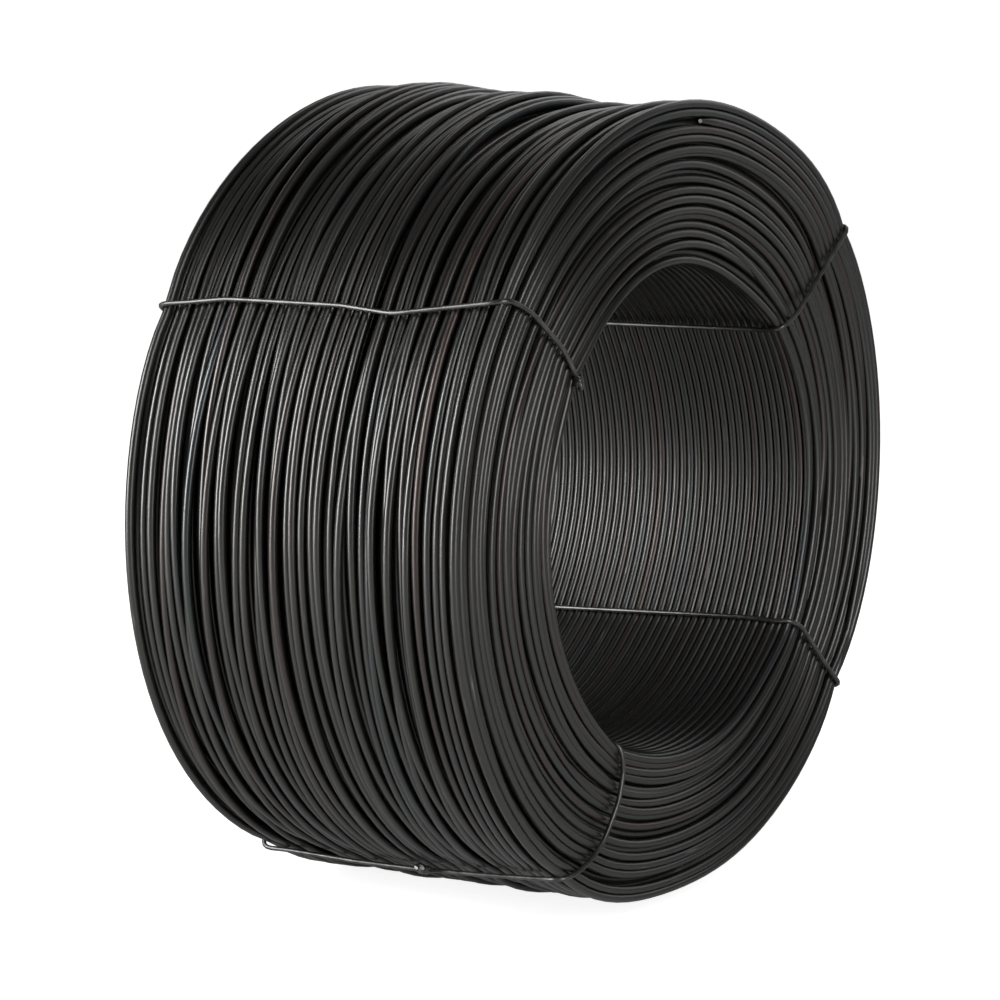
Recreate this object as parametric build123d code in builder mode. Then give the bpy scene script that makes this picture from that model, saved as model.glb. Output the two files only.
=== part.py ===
# Coil of black annealed steel wire, wound in layers without a spool and held by four tie wires.
# It stands on its rim: the coil's axis lies along Y, and the floor is at Z = 0.

import os
from math import cos, radians, sin, sqrt

from build123d import *

os.makedirs("parts", exist_ok=True)

# Coil sizes, in millimetres
bore_diameter = 200
winding_depth = 64.8
coil_width = 158
shoulder_radius = 5
groove_depth = 1.8
end_rows = 12

# Shallow dents that the tight ties press into the bore wall
dent_radius = 30

# Tie wire sizes, in millimetres; the clearance keeps each tie just off the turns that it holds
tie_diameter = 2.0
tie_clearance = 0.15
tie_inner_bend = 1.6
tail_length = 7
tail_spread = 0.35

# Direction of each tie about the axis, in degrees from +X towards +Z
upper_left_angle = 146
upper_right_angle = 40
lower_right_angle = -37
lower_left_angle = 239.5

# Where each tie's twisted ends are: along Y on its outer run, or out from the bore on its near end run
upper_left_knot = 9
upper_right_knot = -8
lower_right_knot = 12
lower_left_knot = 4

# Sizes that follow from those above
bore_radius = bore_diameter / 2
outer_radius = bore_radius + winding_depth
half_width = coil_width / 2
half_row = winding_depth / end_rows / 2
dent_depth = tie_diameter + tie_clearance
tie_reach = tie_diameter / 2 + tie_clearance
inner_run = bore_radius + tie_diameter / 2
outer_run = outer_radius + tie_reach
end_run = half_width + tie_reach


def end_setback(radius):
    """How far the rounded shoulder draws an end back at a radius."""
    into_shoulder = max(0, radius - outer_radius + shoulder_radius)
    return shoulder_radius - sqrt(max(0, shoulder_radius**2 - into_shoulder**2))


def end_outline(side):
    """Radius and Y of the crests and grooves of the turns on one end, from bore to rim."""
    points = []
    for step in range(2 * end_rows + 1):
        radius = bore_radius + step * half_row
        groove = groove_depth if step % 2 == 0 else 0
        points.append((radius, side * (half_width - end_setback(radius) - groove)))
    return points


def radial_plane(angle):
    """Plane through the axis whose local x points outwards at an angle and whose local y is +Y."""
    outwards = (cos(radians(angle)), 0, sin(radians(angle)))
    across = (-sin(radians(angle)), 0, cos(radians(angle)))
    return Plane(origin=(0, 0, outer_radius), x_dir=outwards, z_dir=across)


# The coil is one turned solid, with a groove between each two rows of turns on its ends
with BuildPart() as wire_coil:
    with BuildSketch(radial_plane(0)):
        with BuildLine():
            Polyline(*end_outline(1), *reversed(end_outline(-1)), close=True)
        make_face()
    revolve(axis=Axis((0, 0, outer_radius), (0, 1, 0)))
    with BuildSketch(Plane(origin=(0, 0, outer_radius), x_dir=(1, 0, 0), z_dir=(0, -1, 0))):
        for angle in (upper_left_angle, upper_right_angle, lower_right_angle, lower_left_angle):
            with PolarLocations(bore_radius + dent_depth - dent_radius, 1, start_angle=angle):
                Circle(dent_radius)
    extrude(amount=half_width, both=True, mode=Mode.SUBTRACT)

wire_coil.part.label = "wire_coil"
export_step(wire_coil.part, "parts/wire_coil.step")

# Each tie is a closed loop of thin wire round the coil's section, and its two ends stand off it as tails
loop_corners = [(inner_run, -end_run), (outer_run, -end_run), (outer_run, end_run), (inner_run, end_run)]
loop_bends = [tie_inner_bend, shoulder_radius + tie_reach, shoulder_radius + tie_reach, tie_inner_bend]


def tie_loop(name, angle, knot, along):
    """A tie at an angle, with its tails flat on the coil at a place where its loop runs along a direction."""
    plane = radial_plane(angle)
    with BuildPart() as tie:
        with BuildLine(plane) as loop:
            FilletPolyline(*loop_corners, radius=loop_bends, close=True)
        with BuildSketch(Plane(origin=loop.line @ 0, z_dir=loop.line % 0)):
            RegularPolygon(tie_diameter / 2, 6)
        sweep(path=loop.line)
        for side in (-1, 1):
            lean = along * side * tail_spread - plane.z_dir
            with BuildSketch(Plane(origin=plane.from_local_coords(knot), z_dir=lean)):
                RegularPolygon(tie_diameter / 2, 6)
            extrude(amount=tail_length)
    tie.part.label = name
    export_step(tie.part, f"parts/{name}.step")


outer_ties = {
    "tie_upper_right": (upper_right_angle, upper_right_knot),
    "tie_lower_right": (lower_right_angle, lower_right_knot),
    "tie_lower_left": (lower_left_angle, lower_left_knot),
}
for name, (angle, knot_y) in outer_ties.items():
    tie_loop(name, angle, (outer_run, knot_y), Vector(0, 1, 0))
upper_left_place = (inner_run + upper_left_knot, -end_run)
tie_loop("tie_upper_left", upper_left_angle, upper_left_place, radial_plane(upper_left_angle).x_dir)
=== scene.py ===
import math

import bmesh
import bpy
import numpy as np
from mathutils import Matrix, Vector
from mathutils.geometry import convex_hull_2d


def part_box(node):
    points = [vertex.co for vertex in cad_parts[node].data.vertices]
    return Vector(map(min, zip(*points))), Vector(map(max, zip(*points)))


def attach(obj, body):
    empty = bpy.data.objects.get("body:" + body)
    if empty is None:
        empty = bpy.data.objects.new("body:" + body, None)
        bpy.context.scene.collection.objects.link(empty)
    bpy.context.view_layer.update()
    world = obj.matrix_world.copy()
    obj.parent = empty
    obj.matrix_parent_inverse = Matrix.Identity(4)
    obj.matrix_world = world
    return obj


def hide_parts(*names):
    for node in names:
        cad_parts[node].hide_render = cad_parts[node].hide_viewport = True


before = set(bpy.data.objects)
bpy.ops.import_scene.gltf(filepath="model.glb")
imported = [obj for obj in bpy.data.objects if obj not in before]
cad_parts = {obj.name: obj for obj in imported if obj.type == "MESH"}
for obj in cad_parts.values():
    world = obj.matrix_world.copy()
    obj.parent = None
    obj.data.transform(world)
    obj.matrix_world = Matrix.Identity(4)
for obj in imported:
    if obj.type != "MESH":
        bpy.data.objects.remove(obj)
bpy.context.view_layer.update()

# The coil: one long black annealed steel wire, wound in layers to and fro on a mandrel that was
# then taken out. The inner layers lie tight, and the outer ones grow loose and cross each other.
coil_low, coil_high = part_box("wire_coil")
axis_height = (coil_low.z + coil_high.z) / 2
outer_radius = (coil_high.z - coil_low.z) / 2
half_width = (coil_high.y - coil_low.y) / 2
bore_radius = 0.100
wire_diameter = 0.0036
wire_radius = wire_diameter / 2
layers = 17
shown_layers = 5
first_loose_layer = 12
most_turns = 48
steps = 120
wire_sides = 8
free_end_angle = math.radians(86.7)
last_turn = int(0.34 * steps)
crossing_from = 0.65
chance = np.random.default_rng(11)


def swing(turns, slowest, quickest, terms=8):
    """A smooth random swing of about -1 to 1 along so many turns of wire."""
    rates = chance.uniform(slowest, quickest, terms)[:, None]
    phases = chance.uniform(0, 2 * math.pi, terms)[:, None]
    return np.sin(2 * math.pi * rates * turns + phases).sum(axis=0) * math.sqrt(2 / terms)


def lay_layer(start, layer):
    """Places along the axis of one layer's wire, and how far its end turns lie behind the coil's ends."""
    looseness = max(0, layer - first_loose_layer) / (layers - 1 - first_loose_layer)
    reach = half_width - wire_radius
    turns = np.arange(start, start + most_turns * steps) / steps
    spread = np.maximum(0, 0.5 + 1.7 * swing(turns, 0.4, 2.6))
    gap = wire_diameter * (1.004 + (0.008 + 0.11 * looseness) * spread)
    travel = np.empty_like(turns)
    across = np.clip((np.arange(steps) / steps - crossing_from) / (1 - crossing_from), 0, 1)
    travel[:steps] = gap[steps] * across**2 * (3 - 2 * across)
    for turn in range(1, most_turns):
        now = slice(turn * steps, (turn + 1) * steps)
        travel[now] = travel[(turn - 1) * steps:turn * steps] + gap[now]
    full_turns = int(np.argmax(travel[::steps] > 2 * reach)) - 1
    travel *= 2 * reach / travel[full_turns * steps]
    travel[full_turns * steps:] = 2 * reach
    dwell = 2.0 if layer == layers - 1 else chance.uniform(0.75, 1.0)
    laid = np.minimum(travel[:int((full_turns + dwell) * steps)], 2 * reach) - reach
    angle = turns[:len(laid)]
    sway = (0.0002 + 0.0016 * looseness) * np.sin(2 * math.pi * (2 * angle + chance.uniform()))
    sway += (0.0001 + 0.0010 * looseness) * np.sin(2 * math.pi * (3 * angle + chance.uniform()))
    sway += 0.0005 * looseness**2 * swing(angle, 1.5, 5.0)
    laid += sway * (1 - (laid / reach) ** 6)
    behind = (0.0016 if layer < layers - 4 else 0.0002) * np.minimum(2, np.abs(swing(angle, 0.15, 0.7)))
    return np.clip(laid if (layers - layer) % 2 == 0 else -laid, -reach, reach), behind


along_axis, set_back = np.empty(0), np.empty(0)
layer_starts = []
for layer in range(layers):
    layer_starts.append(len(along_axis))
    laid, behind = lay_layer(len(along_axis), layer)
    along_axis = np.concatenate([along_axis, laid])
    set_back = np.concatenate([set_back, behind])
layer_starts.append(len(along_axis))
along_axis = np.concatenate([along_axis, np.full(last_turn, wire_radius - half_width)])
places = len(along_axis)
set_back = np.pad(set_back, (0, last_turn))

# Each turn settles on the turns under it. The last part turn is tucked under the two turns before it.
far_off = 9.0
resting_reach = 140
ease_steps = 9
lead = (last_turn - places) % steps
turn_count = (lead + places - last_turn) // steps + 1
turn_y = np.full(turn_count * steps, far_off)
turn_y[lead:lead + places] = along_axis
turn_y = turn_y.reshape(turn_count, steps)
turn_radius = np.full((turn_count, steps), bore_radius + wire_radius)
ease = np.exp(-0.5 * (np.arange(-ease_steps, ease_steps + 1) / 3.0) ** 2)
ease /= ease.sum()
laid_turns = [0]
for turn in [*range(1, turn_count - 3), turn_count - 1, turn_count - 3, turn_count - 2]:
    below = laid_turns[-resting_reach:]
    apart = np.abs(turn_y[turn] - turn_y[below])
    perch = np.where(
        apart < wire_diameter,
        turn_radius[below] + np.sqrt(np.maximum(0, wire_diameter**2 - apart**2)),
        bore_radius + wire_radius,
    ).max(axis=0)
    if turn == turn_count - 1:
        perch[last_turn:] = perch[last_turn - 1]
    before = perch[:1].repeat(ease_steps)
    if turn - 1 in below:
        before = turn_radius[turn - 1][-ease_steps:]
    padded = np.concatenate([before, perch, perch[-1:].repeat(ease_steps)])
    turn_radius[turn] = np.convolve(padded, ease, mode="valid")
    laid_turns.append(turn)
from_axis = np.pad(turn_radius.reshape(-1)[lead:lead + places], ease_steps, mode="edge")
from_axis = np.convolve(from_axis, ease, mode="valid")
place_angle = 2 * math.pi * np.arange(places) / steps
place_angle += free_end_angle - place_angle[-1]

# Round its loop each tie runs along the bore to the near end (0 to 1), out to the rim (2), back
# over the outside (3) and in to the bore again (4): its angle about the axis, in degrees, on the way.
tie_runs = {
    "tie_upper_left": [
        (0.0, 148.5), (1.0, 143.6), (1.3, 141.6), (1.7, 142.0), (1.9, 143.2), (2.0, 144.4), (2.2, 146.4),
        (2.3, 147.4), (2.45, 146.8), (2.8, 147.2), (3.0, 148.8), (4.0, 148.5),
    ],
    "tie_upper_right": [(0.0, 37.3), (1.0, 41.5), (1.2, 39.6), (2.0, 38.8), (3.0, 38.0), (4.0, 37.3)],
    "tie_lower_right": [
        (0.0, 317.7), (1.0, 324.2), (1.2, 325.6), (1.6, 324.0), (2.0, 323.2), (3.0, 318.5), (4.0, 317.7),
    ],
    "tie_lower_left": [
        (0.0, 243.0), (1.0, 240.0), (1.15, 243.6), (1.35, 244.6), (1.62, 243.0), (1.8, 240.0), (2.0, 234.8),
        (2.25, 238.0), (2.5, 240.9), (2.72, 242.2), (3.0, 241.0), (4.0, 243.0),
    ],
}


def loop_place(radius, y):
    """Where on a tie's loop, from 0 to 4, a place of the coil's section is nearest to."""
    out = np.clip((radius - bore_radius) / (outer_radius - bore_radius), 0, 1)
    nearer = np.clip((half_width - y) / (2 * half_width), 0, 1)
    depth, width = outer_radius - bore_radius, 2 * half_width
    side = np.argmin([out * depth, (1 - nearer) * width, (1 - out) * depth, nearer * width], axis=0)
    return np.choose(side, [nearer, 1 + out, 3 - nearer, 4 - out])


def tie_angle(name, loop):
    """A tie's angle about the axis at places on its loop."""
    stops, degrees = zip(*tie_runs[name])
    return np.radians(np.interp(loop, stops, degrees))


def off_tie(name, loop):
    """The angle from a tie to each place of the laid wire."""
    return (place_angle - tie_angle(name, loop) + math.pi) % (2 * math.pi) - math.pi


def hump(centre, width):
    """A smooth hump round the coil, from 0 to 1, with its centre and width in degrees."""
    off = (np.degrees(place_angle) - centre + 180) % 360 - 180
    return np.exp(-((off / width) ** 2))


# The turns fill the coil's outside. The ties draw them in, the slack turns at the top bulge in lumps,
# the coil's weight flattens them at the near end's foot, and that end's first rows sag into the bore's top.
sectors, bands = 24, 13
waist = 0.016
sector = np.degrees(place_angle) % 360 * sectors / 360
band = (along_axis / half_width + 1) / 2 * (bands - 1)
top = slice(layer_starts[-4], places)
cell = np.round(sector[top]).astype(int) % sectors * bands + np.round(band[top]).astype(int)
outside = np.array([np.percentile(from_axis[top][cell == number], 95) for number in range(sectors * bands)])
outside = np.pad(outside.reshape(sectors, bands), ((1, 1), (0, 0)), mode="wrap")
outside = (outside[:-2] + 2 * outside[1:-1] + outside[2:]) / 4
fill = (outer_radius - wire_radius - bore_radius) / (outside - bore_radius)
fill *= 1 - waist * (1 - np.linspace(-1, 1, bands) ** 2)
left, low = np.floor(sector).astype(int) % sectors, np.minimum(np.floor(band).astype(int), bands - 2)
on, up = sector % 1, band - low
fill = (1 - on) * ((1 - up) * fill[left, low] + up * fill[left, low + 1]) + on * (
    (1 - up) * fill[(left + 1) % sectors, low] + up * fill[(left + 1) % sectors, low + 1]
)
from_axis = bore_radius + (from_axis - bore_radius) * fill

# On the two ends the turns lie in rows, one for each layer, with two turns over the free end.
rows_from = 0.0715
rows_blend = 0.004
row = np.searchsorted(layer_starts[1:], np.arange(places), side="right").astype(float)
row[layer_starts[-1] - 2 * steps:layer_starts[-1] - steps] = layers
row[layer_starts[-1] - steps:layer_starts[-1]] = layers + 1
row[layer_starts[-1]:] = layers - 1
row[:layer_starts[-4]] += 0.18 * swing(np.arange(layer_starts[-4]) / steps, 0.5, 3.0)
row = np.convolve(np.pad(np.maximum(0, row), ease_steps, mode="edge"), ease, mode="valid")
row_share = np.where(along_axis < 0, row / (layers + 1), (row / (layers - 1)) ** 0.92)
in_row = np.clip((np.abs(along_axis) - rows_from) / rows_blend, 0, 1)
row_radius = bore_radius + wire_radius + (outer_radius - bore_radius - wire_diameter) * row_share
from_axis += in_row * (row_radius - from_axis)
set_back = np.convolve(np.pad(set_back, ease_steps, mode="edge"), ease, mode="valid")
along_axis -= np.sign(along_axis) * in_row * set_back

# How deep in the winding and how near to an end or a tie each place lies
end_depth = 0.012
past_middle = 0.03
pull_width = 6
depth_share = np.clip((from_axis - bore_radius) / (outer_radius - bore_radius), 0, 1.05)
at_end = np.abs(along_axis / half_width) ** 8
at_near_end = np.exp(-(((along_axis + half_width) / end_depth) ** 2))
towards_near = np.clip((past_middle - along_axis) / (past_middle + half_width), 0, 1)
towards_far = np.clip((past_middle + along_axis) / (past_middle + half_width), 0, 1)
pull = np.zeros(places)
for name in tie_runs:
    off = np.abs(np.degrees(off_tie(name, loop_place(from_axis, along_axis))))
    pull = np.maximum(pull, np.exp(-off / pull_width))

# Lumps of the slack turns at the top: height, place along the axis and width, in metres
top_lumps = [
    (0.0050, 0.043, 0.018), (0.0012, 0.075, 0.012), (-0.0038, -0.048, 0.016),
    (-0.0026, -0.030, 0.009), (-0.0012, -0.079, 0.010), (0.0018, -0.004, 0.012),
]
lumps = 0.0014
for height, place, width in top_lumps:
    lumps = lumps + height * np.exp(-(((along_axis - place) / width) ** 2))
from_axis += depth_share**2 * hump(95, 32) * lumps
from_axis += depth_share * (
    towards_near * (0.0030 * hump(30, 28) + 0.0030 * hump(48, 15))
    - towards_near**2 * (0.0042 * hump(286, 34) + 0.0035 * hump(266, 18))
    + towards_far * (0.0040 * hump(216, 34) + 0.0026 * hump(138, 26) + 0.0018 * hump(259, 16))
)
from_axis -= depth_share**1.5 * (0.0016 + 0.0010 * at_end) * pull * (1 - 0.7 * hump(0, 60))
from_axis += (1 - np.minimum(depth_share, 1)) ** 3 * (
    0.0022 * pull
    + at_near_end * (
        0.003 * hump(324, 11) - 0.0010 * hump(143, 11) - 0.005 * hump(62, 24) + 0.0025 * hump(295, 28)
    )
)
along_axis = along_axis * (1 - 0.016 * at_end * pull)

# The wire's skin: black annealing scale with a faint oily sheen, tinted brown, olive or blue along
# the wire, with drawn lines along it and small scuffs where the steel shines through. On the coil's
# outside the reflection is painted: a painted highlight on the crests of the turns, and painted shade
# on their flanks, where the turns meet.
crest_light_gain = 1.3
black_wire = bpy.data.materials.new("black_wire")
black_wire.use_nodes = True
nodes, links = black_wire.node_tree.nodes, black_wire.node_tree.links
skin = nodes["Principled BSDF"]
along_wire = nodes.new("ShaderNodeAttribute")
along_wire.attribute_name = "straight"


def wire_noise(scale, size, detail):
    """Noise on the straightened wire, stretched by a scale along it and across it."""
    stretch = nodes.new("ShaderNodeMapping")
    stretch.inputs["Scale"].default_value = scale
    links.new(along_wire.outputs["Vector"], stretch.inputs["Vector"])
    noise = nodes.new("ShaderNodeTexNoise")
    noise.inputs["Scale"].default_value = size
    noise.inputs["Detail"].default_value = detail
    links.new(stretch.outputs["Vector"], noise.inputs["Vector"])
    return noise.outputs["Fac"]


tint = nodes.new("ShaderNodeValToRGB")
tint.color_ramp.elements[0].position = 0.30
tint.color_ramp.elements[0].color = (0.0097, 0.0060, 0.0053, 1)
tint.color_ramp.elements[1].position = 0.70
tint.color_ramp.elements[1].color = (0.0057, 0.0065, 0.0077, 1)
middle = tint.color_ramp.elements.new(0.45)
middle.color = (0.0060, 0.0058, 0.0057, 1)
olive = tint.color_ramp.elements.new(0.58)
olive.color = (0.0073, 0.0073, 0.0060, 1)
tint_noise = wire_noise((1.6, 0, 0), 1.0, 2.0)
links.new(tint_noise, tint.inputs["Fac"])
film = nodes.new("ShaderNodeValToRGB")
film.color_ramp.elements[0].position = 0.32
film.color_ramp.elements[0].color = (1.0, 0.88, 0.84, 1)
film.color_ramp.elements[1].position = 0.68
film.color_ramp.elements[1].color = (0.92, 0.97, 1.0, 1)
clear_film = film.color_ramp.elements.new(0.46)
clear_film.color = (1.0, 0.97, 0.94, 1)
links.new(tint_noise, film.inputs["Fac"])
links.new(film.outputs["Color"], skin.inputs["Specular Tint"])
scuff = nodes.new("ShaderNodeMapRange")
scuff.inputs["From Min"].default_value = 0.70
scuff.inputs["From Max"].default_value = 0.78
links.new(wire_noise((45, 900, 900), 1.0, 3.0), scuff.inputs["Value"])
bare = nodes.new("ShaderNodeMix")
bare.data_type = "RGBA"
bare.inputs["B"].default_value = (0.11, 0.11, 0.11, 1)
links.new(scuff.outputs["Result"], bare.inputs["Factor"])
links.new(tint.outputs["Color"], bare.inputs["A"])
links.new(bare.outputs["Result"], skin.inputs["Base Color"])
sheen = nodes.new("ShaderNodeMapRange")
sheen.inputs["From Min"].default_value = 0.3
sheen.inputs["From Max"].default_value = 0.7
sheen.inputs["To Min"].default_value = 0.28
sheen.inputs["To Max"].default_value = 0.42
links.new(wire_noise((9, 300, 300), 1.0, 3.0), sheen.inputs["Value"])
links.new(sheen.outputs["Result"], skin.inputs["Roughness"])
drawn = nodes.new("ShaderNodeBump")
drawn.inputs["Strength"].default_value = 0.15
drawn.inputs["Distance"].default_value = 0.0002
links.new(wire_noise((120, 1200, 1200), 1.0, 2.0), drawn.inputs["Height"])
links.new(drawn.outputs["Normal"], skin.inputs["Normal"])
skin.inputs["IOR"].default_value = 1.8
# Painted highlight and shade: the reflection of the outer turns is raised on their crests and lowered on
# their flanks.
crest_light = nodes.new("ShaderNodeAttribute")
crest_light.attribute_name = "crest_light"
crest_light_level = nodes.new("ShaderNodeMapRange")
crest_light_level.inputs["From Min"].default_value = 0.45
crest_light_level.inputs["From Max"].default_value = crest_light_gain
crest_light_level.inputs["To Min"].default_value = 0.22
crest_light_level.inputs["To Max"].default_value = 0.55
links.new(crest_light.outputs["Fac"], crest_light_level.inputs["Value"])
links.new(crest_light_level.outputs["Result"], skin.inputs["Specular IOR Level"])

# The free end of the wire and the ends of the ties were cut off with pliers. Their faces are bare bright
# steel with fine marks of the blades.
cut_steel = bpy.data.materials.new("cut_steel")
cut_steel.use_nodes = True
cut_nodes, cut_links = cut_steel.node_tree.nodes, cut_steel.node_tree.links
cut_place = cut_nodes.new("ShaderNodeTexCoord")
cut_marks = cut_nodes.new("ShaderNodeTexNoise")
cut_marks.inputs["Scale"].default_value = 2500
cut_tone = cut_nodes.new("ShaderNodeValToRGB")
cut_tone.color_ramp.elements[0].color = (0.62, 0.61, 0.59, 1)
cut_tone.color_ramp.elements[1].color = (0.90, 0.89, 0.87, 1)
cut_links.new(cut_place.outputs["Object"], cut_marks.inputs["Vector"])
cut_links.new(cut_marks.outputs["Fac"], cut_tone.inputs["Fac"])
cut_links.new(cut_tone.outputs["Color"], cut_nodes["Principled BSDF"].inputs["Base Color"])
cut_nodes["Principled BSDF"].inputs["Metallic"].default_value = 0.2
cut_nodes["Principled BSDF"].inputs["Roughness"].default_value = 0.45

# The turns as they are seen: one turn is spun from a ring of the wire's girth, and each piece of the coil
# repeats it and lays it on its places. Every layer that shows is a piece, and so are the rows of each end.
mean_turn_radius = 0.13
ring = bmesh.new()
bmesh.ops.create_circle(
    ring,
    segments=wire_sides,
    radius=wire_radius,
    matrix=Matrix.Translation((bore_radius, 0, 0)) @ Matrix.Rotation(math.pi / 2, 4, "X"),
)
bmesh.ops.spin(
    ring,
    geom=ring.verts[:] + ring.edges[:],
    cent=(0, 0, 0),
    axis=(0, -1, 0),
    dvec=(0, wire_diameter / steps, 0),
    angle=2 * math.pi,
    steps=steps,
)
one_turn = bpy.data.meshes.new("one_turn")
ring.to_mesh(one_turn)
ring.free()
round_wire = 2 * math.pi * np.arange(wire_sides) / wire_sides
free_end = Vector((
    from_axis[-1] * math.cos(free_end_angle),
    along_axis[-1],
    from_axis[-1] * math.sin(free_end_angle) + axis_height,
))


def wound_turns(name, spans):
    """One piece from spans of the laid wire: a spun turn, repeated along the axis and laid on its places."""
    shape = bmesh.new()
    for first, last in spans:
        turns = math.ceil((last - first) / steps)
        former = bpy.data.objects.new("former", one_turn)
        bpy.context.scene.collection.objects.link(former)
        repeat = former.modifiers.new("turns", "ARRAY")
        repeat.count = turns
        repeat.use_relative_offset = False
        repeat.use_constant_offset = True
        repeat.constant_offset_displace = (0, wire_diameter, 0)
        bpy.context.view_layer.update()
        tube = bpy.data.meshes.new_from_object(former.evaluated_get(bpy.context.evaluated_depsgraph_get()))
        place = (np.arange(turns)[:, None] * steps + np.arange(steps + 1)).reshape(-1)
        place = np.minimum(first + place, last)[:, None]
        girth = wire_radius * np.where(place == places - 1, 0.5, 1.0)
        out = from_axis[place] + girth * np.cos(round_wire)
        spot = np.empty((len(place), wire_sides, 3))
        spot[..., 0] = out * np.cos(place_angle[place])
        spot[..., 1] = along_axis[place] + girth * np.sin(round_wire)
        spot[..., 2] = out * np.sin(place_angle[place]) + axis_height
        tube.vertices.foreach_set("co", spot.reshape(-1))
        straight = np.empty_like(spot)
        straight[..., 0] = place * 2 * math.pi * mean_turn_radius / steps
        straight[..., 1] = wire_radius * np.cos(round_wire)
        straight[..., 2] = wire_radius * np.sin(round_wire)
        wire_places = tube.attributes.new("straight", "FLOAT_VECTOR", "POINT")
        wire_places.data.foreach_set("vector", straight.reshape(-1))
        # Painted highlight and shade on the coil's outside: strongest on each turn's crest, least on its
        # flanks.
        on_outside = (1 - in_row[place]) * (place >= layer_starts[1])
        crest_light_share = 1 - on_outside * (1 - crest_light_gain * np.abs(np.cos(round_wire)))
        crest_light_places = tube.attributes.new("crest_light", "FLOAT", "POINT")
        crest_light_places.data.foreach_set("value", crest_light_share.reshape(-1))
        shape.from_mesh(tube)
        bpy.data.objects.remove(former)
        bpy.data.meshes.remove(tube)
    bmesh.ops.remove_doubles(shape, verts=shape.verts, dist=1e-6)
    open_ends = [edge for edge in shape.edges if edge.is_boundary]
    caps = bmesh.ops.holes_fill(shape, edges=open_ends, sides=wire_sides)["faces"]
    bmesh.ops.recalc_face_normals(shape, faces=shape.faces)
    for face in shape.faces:
        face.smooth = True
    for face in caps:
        face.smooth = False
        face.material_index = int((face.calc_center_median() - free_end).length < wire_radius)
        for edge in face.edges:
            edge.smooth = False
    mesh = bpy.data.meshes.new(name)
    shape.to_mesh(mesh)
    shape.free()
    piece = bpy.data.objects.new(name, mesh)
    bpy.context.scene.collection.objects.link(piece)
    piece.data.materials.append(black_wire)
    piece.data.materials.append(cut_steel)
    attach(piece, "root")
    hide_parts("wire_coil")


under_layers = layers - shown_layers
wound_turns("bore_turns", [(layer_starts[0], layer_starts[1])])
wound_turns("second_turns", [(layer_starts[1], layer_starts[2])])
end_spans = [[], []]
for layer in range(2, under_layers):
    first, last = layer_starts[layer], layer_starts[layer + 1]
    far_first = (layers - layer) % 2
    end_spans[far_first].append((first, first + 2 * steps))
    end_spans[1 - far_first].append((last - 2 * steps, last))
wound_turns("near_end_turns", end_spans[0])
wound_turns("far_end_turns", end_spans[1])
for layer in range(under_layers, layers):
    last = places - 1 if layer == layers - 1 else layer_starts[layer + 1]
    wound_turns(f"outer_turns_{layer - under_layers + 1}", [(layer_starts[layer], last)])

# The inner turns, which no gap shows: the same black wire, wound tight between the bore's turns and the
# outer layers. They are one plain dark ring, a little inside the turns that lie round it.
core_outer = from_axis[layer_starts[under_layers]:layer_starts[under_layers + 1]].min() - wire_radius
core_inner = bore_radius + 2.5 * wire_diameter
core_half = half_width - 2.0 * wire_diameter
core_steps = 72
core_shape = bmesh.new()
core_section = [
    (core_inner, -core_half), (core_outer, -core_half), (core_outer, core_half), (core_inner, core_half),
]
corners = [core_shape.verts.new((radius, y, axis_height)) for radius, y in core_section]
section = [core_shape.edges.new(pair) for pair in zip(corners, corners[1:] + corners[:1])]
bmesh.ops.spin(
    core_shape,
    geom=corners + section,
    cent=(0, 0, axis_height),
    axis=(0, -1, 0),
    angle=2 * math.pi,
    steps=core_steps,
    use_merge=True,
)
bmesh.ops.remove_doubles(core_shape, verts=core_shape.verts, dist=1e-6)
bmesh.ops.recalc_face_normals(core_shape, faces=core_shape.faces)
core_mesh = bpy.data.meshes.new("inner_turns")
core_shape.to_mesh(core_mesh)
core_shape.free()
inner_turns = bpy.data.objects.new("inner_turns", core_mesh)
bpy.context.scene.collection.objects.link(inner_turns)
inner_turns.data.materials.append(black_wire)
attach(inner_turns, "root")
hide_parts("wire_coil")

# The four ties: thin annealed wire, each a closed loop pulled tight round the coil's section, with its
# two ends twisted together and cut off short. They bite into the outer turns, and each stands off the rim
# a little at one end of the coil.
tie_radius = 0.0010
tie_spacing = 0.002
twist_turns = 1.5
twist_points = 24
bend_points = 6
slack_width = 0.007
# How far each tie's twisted ends reach round the coil and along the tie
tie_tails = {
    "tie_upper_left": (-0.0035, 0), "tie_upper_right": (0.0045, 0),
    "tie_lower_right": (0.0045, 0), "tie_lower_left": (0.0105, -0.003),
}
# The end of the coil where each tie stands off the rim, as a sign along Y, and by how much
tie_slack = {
    "tie_upper_left": (1, 0.0012), "tie_upper_right": (-1, 0.0006),
    "tie_lower_right": (-1, 0.0008), "tie_lower_left": (1, 0.0018),
}
# The cut ends of this tie lie in the bore's mouth and are dark
dark_ended_tie = "tie_upper_left"
# Where on its loop each tie has its knot
tie_knots = {
    "tie_upper_left": 1.06, "tie_upper_right": 2.45,
    "tie_lower_right": 2.58, "tie_lower_left": 2.455,
}

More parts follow.
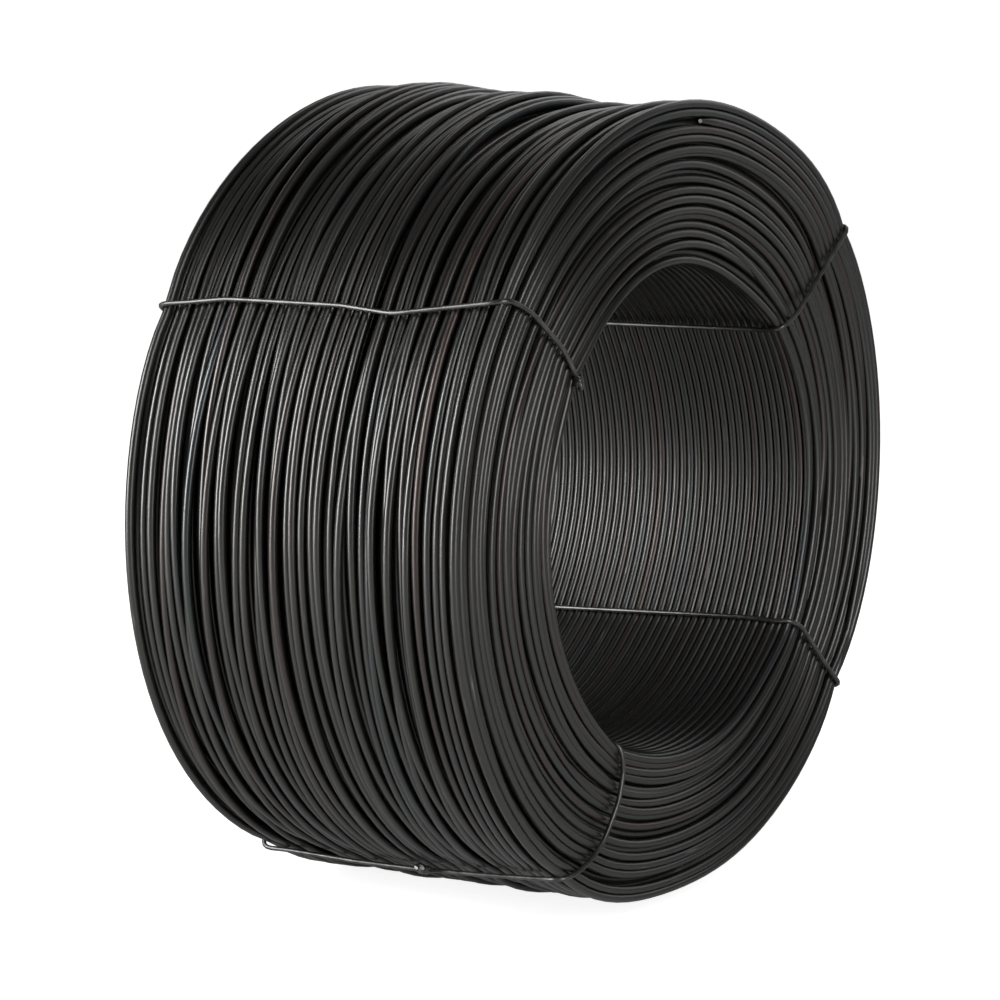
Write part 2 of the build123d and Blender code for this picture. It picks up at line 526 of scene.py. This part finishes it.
tie_wire = bpy.data.materials.new("tie_wire")
tie_wire.use_nodes = True
tie_nodes, tie_links = tie_wire.node_tree.nodes, tie_wire.node_tree.links
tie_place = tie_nodes.new("ShaderNodeTexCoord")
tie_marks = tie_nodes.new("ShaderNodeTexNoise")
tie_marks.inputs["Scale"].default_value = 180
tie_marks.inputs["Detail"].default_value = 4
tie_tone = tie_nodes.new("ShaderNodeValToRGB")
tie_tone.color_ramp.elements[0].position = 0.3
tie_tone.color_ramp.elements[0].color = (0.056, 0.055, 0.053, 1)
tie_tone.color_ramp.elements[1].position = 0.7
tie_tone.color_ramp.elements[1].color = (0.13, 0.13, 0.127, 1)
tie_sheen = tie_nodes.new("ShaderNodeMapRange")
tie_sheen.inputs["To Min"].default_value = 0.25
tie_sheen.inputs["To Max"].default_value = 0.45
tie_links.new(tie_place.outputs["Object"], tie_marks.inputs["Vector"])
tie_links.new(tie_marks.outputs["Fac"], tie_tone.inputs["Fac"])
tie_links.new(tie_marks.outputs["Fac"], tie_sheen.inputs["Value"])
tie_links.new(tie_tone.outputs["Color"], tie_nodes["Principled BSDF"].inputs["Base Color"])
tie_links.new(tie_sheen.outputs["Result"], tie_nodes["Principled BSDF"].inputs["Roughness"])
tie_nodes["Principled BSDF"].inputs["Metallic"].default_value = 0.8


def taut_loop(name):
    """Radius, Y and angle round a tie's loop, pulled tight over the turns that it crosses."""
    crossed = np.abs(off_tie(name, loop_place(from_axis, along_axis))) <= math.pi / steps
    spots = np.stack([from_axis[crossed], along_axis[crossed]], axis=1)
    hull = spots[convex_hull_2d(spots.tolist())]
    onto = np.roll(hull, -1, axis=0)
    if (hull[:, 0] * onto[:, 1] - hull[:, 1] * onto[:, 0]).sum() < 0:
        hull = hull[::-1]
    step = np.roll(hull, -1, axis=0) - hull
    facing = np.arctan2(-step[:, 0], step[:, 1])
    before = np.roll(facing, 1)
    bend = (facing - before) % (2 * math.pi)
    swept = before[:, None] + bend[:, None] * np.linspace(0, 1, bend_points)
    round_bends = np.stack([np.cos(swept), np.sin(swept)], axis=-1) * (wire_radius + tie_radius)
    outline = (hull[:, None] + round_bends).reshape(-1, 2)
    outline = np.concatenate([outline, outline[:1]])
    length = np.concatenate([[0], np.cumsum(np.hypot(*np.diff(outline, axis=0).T))])
    marks = np.linspace(0, length[-1], int(length[-1] / tie_spacing), endpoint=False)
    path = np.stack([np.interp(marks, length, outline[:, axis]) for axis in (0, 1)], axis=1)
    end, slack = tie_slack[name]
    corner = marks[np.argmax(path @ np.array([1, end]))]
    gap = (marks - corner + length[-1] / 2) % length[-1] - length[-1] / 2
    path += slack * np.exp(-((gap / slack_width) ** 2))[:, None] * np.array([0.7, 0.7 * end])
    angle = tie_angle(name, loop_place(path[:, 0], path[:, 1]))
    path = np.column_stack([path, angle])
    shares = {-2: 0.1, -1: 0.2, 0: 0.4, 1: 0.2, 2: 0.1}
    return sum(np.roll(path, shift, axis=0) * share for shift, share in shares.items())


def add_strand(curve, points, closed):
    """A strand of tie wire along points."""
    strand = curve.splines.new("POLY")
    strand.points.add(len(points) - 1)
    strand.points.foreach_set("co", np.column_stack([points, np.ones(len(points))]).reshape(-1))
    strand.use_cyclic_u = closed


for name in tie_runs:
    radius, y, angle = taut_loop(name).T
    points = np.stack([radius * np.cos(angle), y, radius * np.sin(angle) + axis_height], axis=1)
    curve = bpy.data.curves.new(name, "CURVE")
    curve.dimensions = "3D"
    curve.bevel_depth = tie_radius
    curve.bevel_resolution = 2
    curve.use_fill_caps = True
    add_strand(curve, points, True)
    at = int(np.abs(loop_place(radius, y) - tie_knots[name]).argmin())
    onward = points[(at + 1) % len(points)] - points[at - 1]
    onward /= np.linalg.norm(onward)
    back = np.array([math.sin(angle[at]), 0, -math.cos(angle[at])])
    off_coil = np.cross(onward, back)
    outwards = np.array([math.cos(angle[at]), 0, math.sin(angle[at])])
    outwards = outwards if tie_knots[name] > 2 else np.array([0, -1.0, 0])
    off_coil *= np.sign(off_coil @ outwards) / np.linalg.norm(off_coil)
    tail = back * tie_tails[name][0] + onward * tie_tails[name][1]
    along = np.linspace(0, 1, twist_points)[:, None]
    for turn in (0, math.pi):
        wind = 2 * math.pi * twist_turns * along + turn
        apart = tie_radius * (1 + 0.7 * np.maximum(0, along - 0.75) / 0.25)
        stand = tie_radius * (np.minimum(1, 3 * along) + along**2)
        twist = points[at] + off_coil * stand + tail * along
        twist = twist + apart * (np.cos(wind) * onward + np.sin(wind) * off_coil)
        add_strand(curve, twist, False)
    wire = bpy.data.objects.new("strands", curve)
    bpy.context.scene.collection.objects.link(wire)
    bpy.context.view_layer.update()
    mesh = bpy.data.meshes.new_from_object(wire.evaluated_get(bpy.context.evaluated_depsgraph_get()))
    mesh.name = name
    bpy.data.objects.remove(wire)
    bpy.data.curves.remove(curve)
    mesh.materials.clear()
    mesh.materials.append(tie_wire)
    mesh.materials.append(cut_steel)
    for face in mesh.polygons:
        face.use_smooth = len(face.vertices) == 4
        face.material_index = int(len(face.vertices) != 4 and name != dark_ended_tie)
    tie = bpy.data.objects.new(f"{name}_wire", mesh)
    bpy.context.scene.collection.objects.link(tie)
    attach(tie, "root")
    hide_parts(name)

# Floor, backdrop, light and camera: a pale floor and a pale wall far behind the coil in a dim room.
# Tall soft lights stand on the left and on the right, with dim ones far right and above. The lens is long.
coil_centre = Vector((0, 0, axis_height))
camera_azimuth = math.radians(-56.08)
camera_elevation = math.radians(9.02)
camera_distance = 8.5 * outer_radius
camera_back = Vector((
    math.sin(camera_azimuth) * math.cos(camera_elevation),
    -math.cos(camera_azimuth) * math.cos(camera_elevation),
    math.sin(camera_elevation),
))


def pale_sheet(name, half_size, turn, seen_glow, mirrored_glow):
    """A pale sheet, white to the camera and seen in shiny surfaces, its glow lowered near the coil as
    painted shade.
    """
    sheet_shape = bmesh.new()
    bmesh.ops.create_grid(sheet_shape, x_segments=1, y_segments=1, size=half_size, matrix=turn)
    sheet_mesh = bpy.data.meshes.new(name)
    sheet_shape.to_mesh(sheet_mesh)
    sheet_shape.free()
    sheet = bpy.data.objects.new(name, sheet_mesh)
    bpy.context.scene.collection.objects.link(sheet)
    pale = bpy.data.materials.new(name)
    pale.use_nodes = True
    sheet_nodes, sheet_links = pale.node_tree.nodes, pale.node_tree.links
    paper = sheet_nodes["Principled BSDF"]
    paper.inputs["Base Color"].default_value = (0.7, 0.7, 0.7, 1)
    paper.inputs["Roughness"].default_value = 0.9
    paper.inputs["Emission Color"].default_value = (1, 1, 1, 1)
    ray = sheet_nodes.new("ShaderNodeLightPath")
    mirrored = sheet_nodes.new("ShaderNodeMath")
    mirrored.operation = "MULTIPLY"
    mirrored.inputs[1].default_value = mirrored_glow
    glow = sheet_nodes.new("ShaderNodeMath")
    glow.operation = "MULTIPLY_ADD"
    place = sheet_nodes.new("ShaderNodeTexCoord")
    distance = sheet_nodes.new("ShaderNodeVectorMath")
    distance.operation = "LENGTH"
    # Painted shade: the glow seen by the camera falls from 1 at 0.7 m out to seen_glow within 0.2 m of the
    # coil.
    seen = sheet_nodes.new("ShaderNodeMapRange")
    seen.inputs["From Min"].default_value = 0.2
    seen.inputs["From Max"].default_value = 0.7
    seen.inputs["To Min"].default_value = seen_glow
    seen.inputs["To Max"].default_value = 1.0
    sheet_links.new(place.outputs["Object"], distance.inputs[0])
    sheet_links.new(distance.outputs["Value"], seen.inputs["Value"])
    sheet_links.new(seen.outputs["Result"], glow.inputs[1])
    sheet_links.new(ray.outputs["Is Glossy Ray"], mirrored.inputs[0])
    sheet_links.new(ray.outputs["Is Camera Ray"], glow.inputs[0])
    sheet_links.new(mirrored.outputs[0], glow.inputs[2])
    sheet_links.new(glow.outputs[0], paper.inputs["Emission Strength"])
    sheet.data.materials.append(pale)


# The floor's 0.85 is its painted shade next to the coil.
pale_sheet("floor", 30, Matrix.Identity(4), 0.85, 0.07)
wall_distance = 9
upright = Matrix.Translation((0, wall_distance, 0)) @ Matrix.Rotation(math.pi / 2, 4, "X")
pale_sheet("back_wall", 7, Matrix.Rotation(camera_azimuth, 4, "Z") @ upright, 1.0, 1.0)

world = bpy.data.worlds.new("studio")
bpy.context.scene.world = world
world.use_nodes = True
sky_nodes, sky_links = world.node_tree.nodes, world.node_tree.links
room = sky_nodes["Background"]
room.inputs["Color"].default_value = (1, 1, 1, 1)
sky_ray = sky_nodes.new("ShaderNodeLightPath")
sky_level = sky_nodes.new("ShaderNodeMapRange")
sky_level.inputs["To Min"].default_value = 0.06
sky_level.inputs["To Max"].default_value = 1.0
sky_links.new(sky_ray.outputs["Is Camera Ray"], sky_level.inputs["Value"])
sky_links.new(sky_level.outputs[0], room.inputs["Strength"])


def soft_light(name, azimuth, elevation, distance, width, height, power):
    """An area light that faces the coil from a direction, in degrees, at a distance in metres."""
    light = bpy.data.lights.new(name, "AREA")
    light.shape = "RECTANGLE"
    light.size, light.size_y = width, height
    light.energy = power
    lamp = bpy.data.objects.new(name, light)
    turn, rise = math.radians(azimuth), math.radians(elevation)
    away = Vector((math.sin(turn) * math.cos(rise), -math.cos(turn) * math.cos(rise), math.sin(rise)))
    lamp.location = coil_centre + away * distance
    lamp.rotation_euler = (-away).to_track_quat("-Z", "Y").to_euler()
    bpy.context.scene.collection.objects.link(lamp)


soft_light("left_softbox", -124, 15, 1.5, 0.5, 1.1, 25)
soft_light("right_softbox", -20, 18, 1.5, 0.5, 1.3, 13.5)
soft_light("far_right_softbox", 70, 20, 1.6, 0.5, 1.2, 1.8)
soft_light("top_softbox", 100, 58, 1.5, 0.4, 1.0, 2.2)

film_width = 36
lens_reach = 3.347
lens = bpy.data.cameras.new("camera")
lens.lens = film_width * lens_reach
lens.sensor_width = film_width
lens.shift_x = -0.0278
lens.shift_y = -0.0084
camera = bpy.data.objects.new("camera", lens)
camera.location = coil_centre + camera_back * camera_distance
camera.rotation_euler = (-camera_back).to_track_quat("-Z", "Y").to_euler()
bpy.context.scene.collection.objects.link(camera)
bpy.context.scene.camera = camera
bpy.context.scene.view_settings.view_transform = "Standard"
